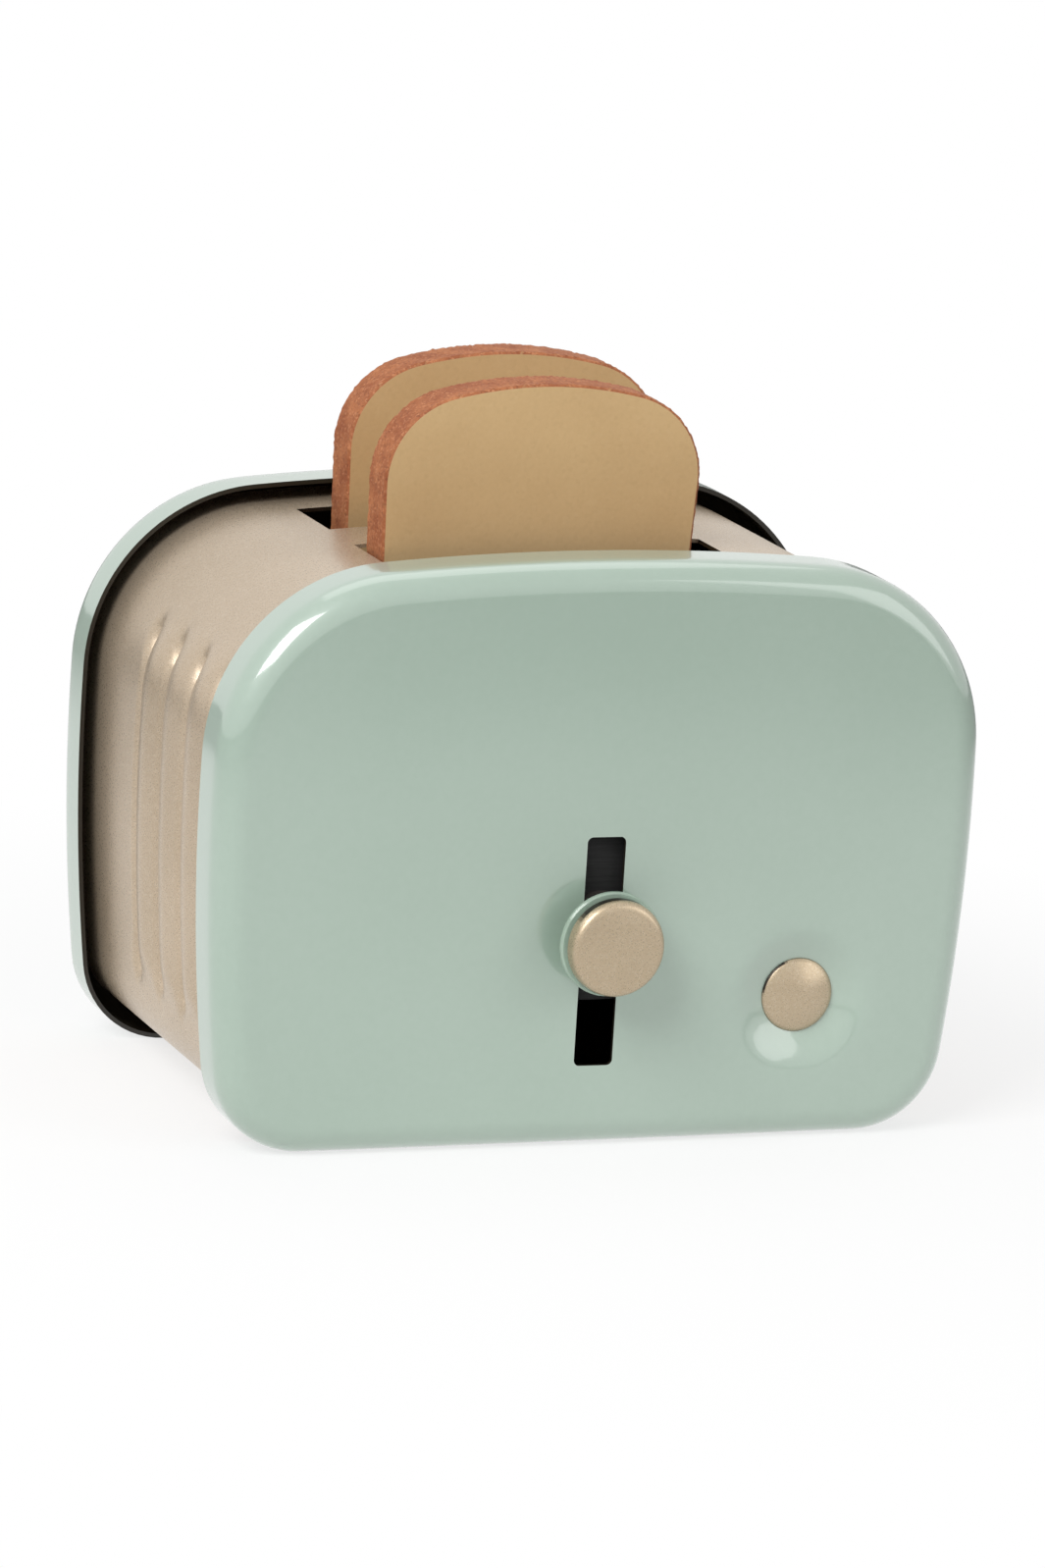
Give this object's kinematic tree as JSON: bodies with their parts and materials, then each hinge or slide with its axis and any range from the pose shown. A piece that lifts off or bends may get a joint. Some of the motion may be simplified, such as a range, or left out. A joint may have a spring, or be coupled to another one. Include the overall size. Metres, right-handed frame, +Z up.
{
  "type": "toy toaster",
  "caption": "Small pressed tin toy toaster with a fluted band, two drawn covers, a sliding lever knob, a push button and two loose slices of toast.",
  "frame": {"origin": "centre of the overall box in X and Y at the level the covers stand on", "axes": "+X along the wide face to the right seen from the front, +Y from the front cover to the rear cover, +Z up"},
  "size_m": [0.07, 0.051, 0.0643],
  "materials": {
    "mint_enamel": "satin",
    "champagne_flake_paint": "metallic satin",
    "champagne_metal": "metallic satin",
    "clear_mint_plastic": "gloss",
    "plain_tin": "satin",
    "spring_wire": "satin",
    "fibre_washer": "matte",
    "toast_print": "matte"
  },
  "bodies": {
    "shell": {"front_cover": "mint_enamel", "rear_cover": "mint_enamel", "body_band": "champagne_flake_paint", "seam_rivets": "plain_tin", "guide_rail_left": "plain_tin", "guide_rail_right": "plain_tin", "button_cup": "plain_tin", "button_spring": "spring_wire"},
    "lever": {"lever_knob": "champagne_metal", "knob_washer": "clear_mint_plastic", "knob_spacer": "plain_tin", "friction_washer": "fibre_washer", "retainer_washer": "plain_tin", "carriage": "plain_tin", "front_bread_cradle": "plain_tin", "rear_bread_cradle": "plain_tin", "cradle_rivets": "plain_tin"},
    "push_button": {"button": "champagne_metal"},
    "front_slice": {"front_bread_slice": "toast_print"},
    "rear_slice": {"rear_bread_slice": "toast_print"}
  },
  "joints": [
    {"name": "lever_slide", "type": "slide", "parent": "shell", "child": "lever", "axis": [0, 0, 1], "range_m": [-0.0096, 0.007]},
    {"name": "button_press", "type": "slide", "parent": "shell", "child": "push_button", "axis": [0, 1, 0], "range_m": [0, 0.001], "stiffness_N_per_m": 300, "springref_m": -0.001, "deforming": ["button_spring"]},
    {"name": "front_slice_lift", "type": "slide", "parent": "lever", "child": "front_slice", "axis": [0, 0, 1], "range_m": [0, 0.03]},
    {"name": "rear_slice_lift", "type": "slide", "parent": "lever", "child": "rear_slice", "axis": [0, 0, 1], "range_m": [0, 0.03]}
  ]
}
